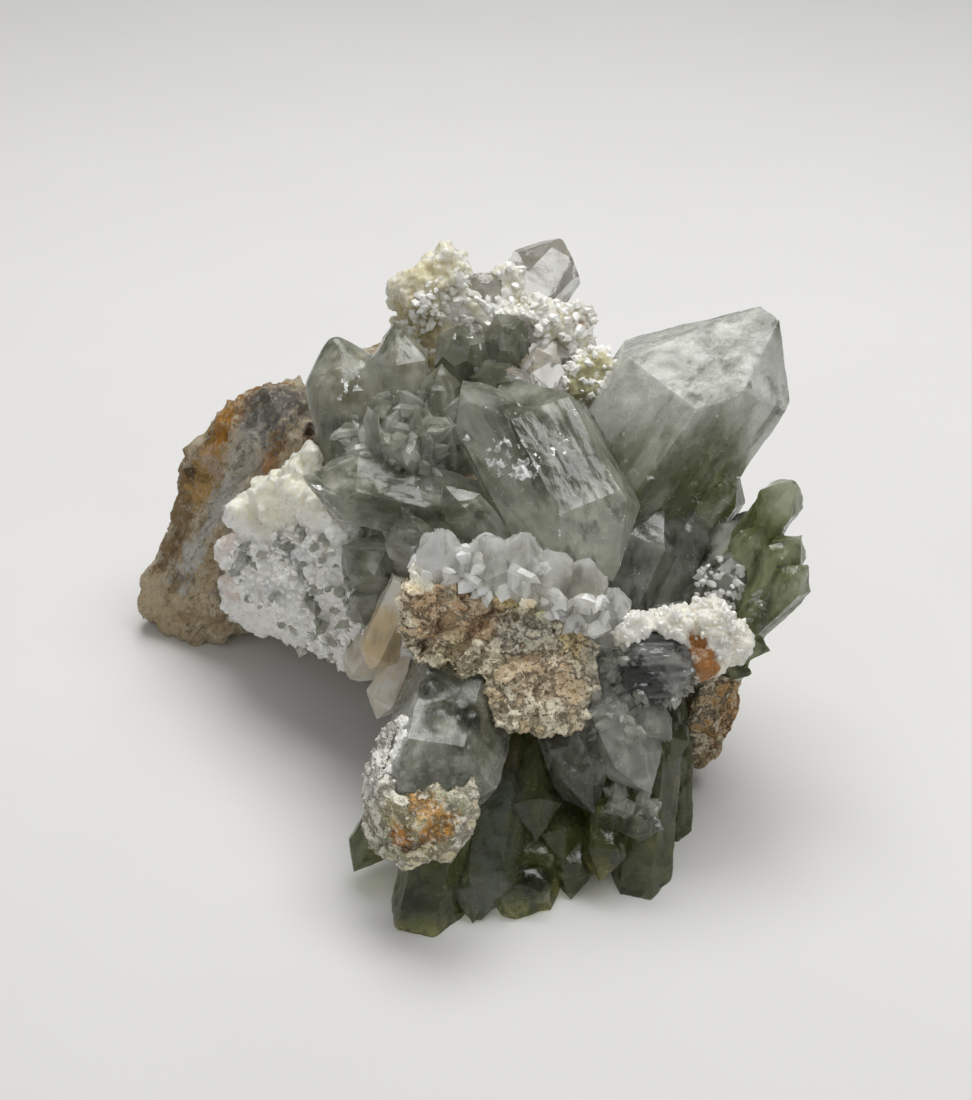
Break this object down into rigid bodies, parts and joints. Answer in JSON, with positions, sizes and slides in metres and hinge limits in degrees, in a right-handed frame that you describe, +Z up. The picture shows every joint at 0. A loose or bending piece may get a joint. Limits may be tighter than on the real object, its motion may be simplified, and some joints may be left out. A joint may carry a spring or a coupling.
{
  "type": "mineral specimen",
  "caption": "Chlorite quartz crystal cluster: clear, milky and green six-sided crystals on an arched plate of brown matrix rock with white quartz crust.",
  "frame": {"origin": "at floor level, in the middle under the specimen's outer box", "axes": "+Z up as it stands, +X to the viewer's right, -Y towards the viewer, where the capped crystal points"},
  "size_m": [0.0942, 0.0822, 0.0644],
  "materials": {
    "clear_quartz": "glossy",
    "grey_green_quartz": "glossy",
    "milky_quartz": "satin",
    "dark_quartz": "glossy",
    "chlorite_quartz": "glossy",
    "peach_quartz": "satin",
    "cream_crust": "rough",
    "yellowish_crust": "rough",
    "tan_rock": "rough",
    "flaky_rock": "rough",
    "matrix": "rough"
  },
  "bodies": {
    "root": {"matrix_rock": "matrix", "left_white_crust": "cream_crust", "pendant_points": "peach_quartz", "left_lying_crystals": "grey_green_quartz", "back_left_crystals": "grey_green_quartz", "centre_crystal": "grey_green_quartz", "large_right_crystal": "milky_quartz", "dark_middle_crystals": "dark_quartz", "right_finger_crystals": "chlorite_quartz", "top_crystals": "clear_quartz", "top_crust": "yellowish_crust", "pale_front_points": "milky_quartz", "front_tan_rock": "tan_rock", "right_white_crust": "cream_crust", "window_crystal": "dark_quartz", "right_flaky_rock": "flaky_rock", "capped_front_crystal": "clear_quartz", "crystal_rock_cap": "tan_rock", "front_foot_crystals": "chlorite_quartz", "right_foot_crystals": "chlorite_quartz", "mid_pale_crystals": "milky_quartz"}
  },
  "joints": []
}
